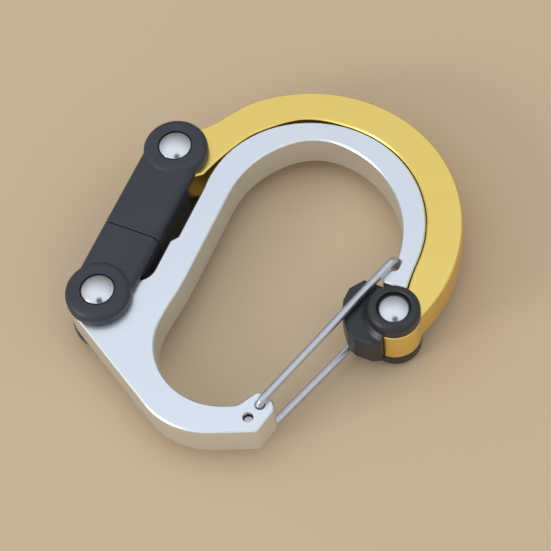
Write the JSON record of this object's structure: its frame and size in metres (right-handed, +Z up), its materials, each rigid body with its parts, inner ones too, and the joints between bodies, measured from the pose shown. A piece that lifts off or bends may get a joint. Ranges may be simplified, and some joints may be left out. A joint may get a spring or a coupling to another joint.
{
  "type": "folding hook carabiner",
  "caption": "Compact keyring carabiner with a wire gate and a folding, swivelling hook that wraps round its frame and opens out to hang a bag.",
  "frame": {"origin": "middle of the folded part's bounding box, on the surface that it lies on", "axes": "+Y along the link from the lower rivet to the upper one, +X across the loop towards the tip, +Z up through the plates"},
  "size_m": [0.065, 0.0765, 0.015],
  "materials": {
    "silver_aluminium": "bead-blasted, clear anodised",
    "gold_aluminium": "bead-blasted, gold anodised",
    "black_polymer": "fine satin texture",
    "black_rubber": "soft satin",
    "polished_steel": "tumbled, polished dome",
    "wire_steel": "drawn wire, lightly polished",
    "pin_steel": "turned",
    "washer_polymer": "natural acetal"
  },
  "bodies": {
    "frame": {"carabiner_frame": "silver_aluminium"},
    "gate": {"gate_wire": "wire_steel"},
    "fork_lower": {"lower_link": "black_polymer", "lower_rivet_barrel": "polished_steel", "lower_rivet_pin": "polished_steel", "lower_washer_top": "washer_polymer", "lower_washer_bottom": "washer_polymer"},
    "swivel": {"swivel_pin": "pin_steel", "swivel_collar": "pin_steel", "swivel_washer_lower": "washer_polymer", "swivel_washer_upper": "washer_polymer"},
    "fork_upper": {"upper_link": "black_polymer", "upper_rivet_barrel": "polished_steel", "upper_rivet_pin": "polished_steel", "upper_washer_top": "washer_polymer", "upper_washer_bottom": "washer_polymer"},
    "hook_arm": {"hook": "gold_aluminium"},
    "tip": {"rubber_tip": "black_rubber", "tip_rivet_barrel": "polished_steel", "tip_rivet_pin": "polished_steel"}
  },
  "joints": [
    {"name": "gate_pivot", "type": "hinge", "parent": "frame", "child": "gate", "pos_m": [0.01057, -0.02881, 0.0075], "axis": [0, 0, 1], "range_deg": [0, 30], "stiffness_Nm_per_rad": 0.02, "springref_deg": -20.05},
    {"name": "link_pivot", "type": "hinge", "parent": "frame", "child": "fork_lower", "pos_m": [-0.02618, -0.01936, 0.0075], "axis": [0, 0, 1], "range_deg": [0, 150]},
    {"name": "link_swivel", "type": "hinge", "parent": "fork_lower", "child": "swivel", "pos_m": [-0.02618, -0.00541, 0.0075], "axis": [0, -1, 0], "continuous": true},
    {"name": "upper_swivel", "type": "hinge", "parent": "swivel", "child": "fork_upper", "pos_m": [-0.02618, -0.00541, 0.0075], "axis": [0, -1, 0], "range_deg": [0, 180]},
    {"name": "hook_pivot", "type": "hinge", "parent": "fork_upper", "child": "hook_arm", "pos_m": [-0.02618, 0.01434, 0.0075], "axis": [0, 0, 1], "range_deg": [0, 160]},
    {"name": "tip_pivot", "type": "hinge", "parent": "hook_arm", "child": "tip", "pos_m": [0.02602, -0.00336, 0.0075], "axis": [0, 0, 1], "range_deg": [0, 90]}
  ],
  "couplings": [
    {"joint": "link_pivot", "follows": "hook_pivot", "ratio": 0.9375},
    {"joint": "upper_swivel", "follows": "hook_pivot", "ratio": 1.125}
  ]
}
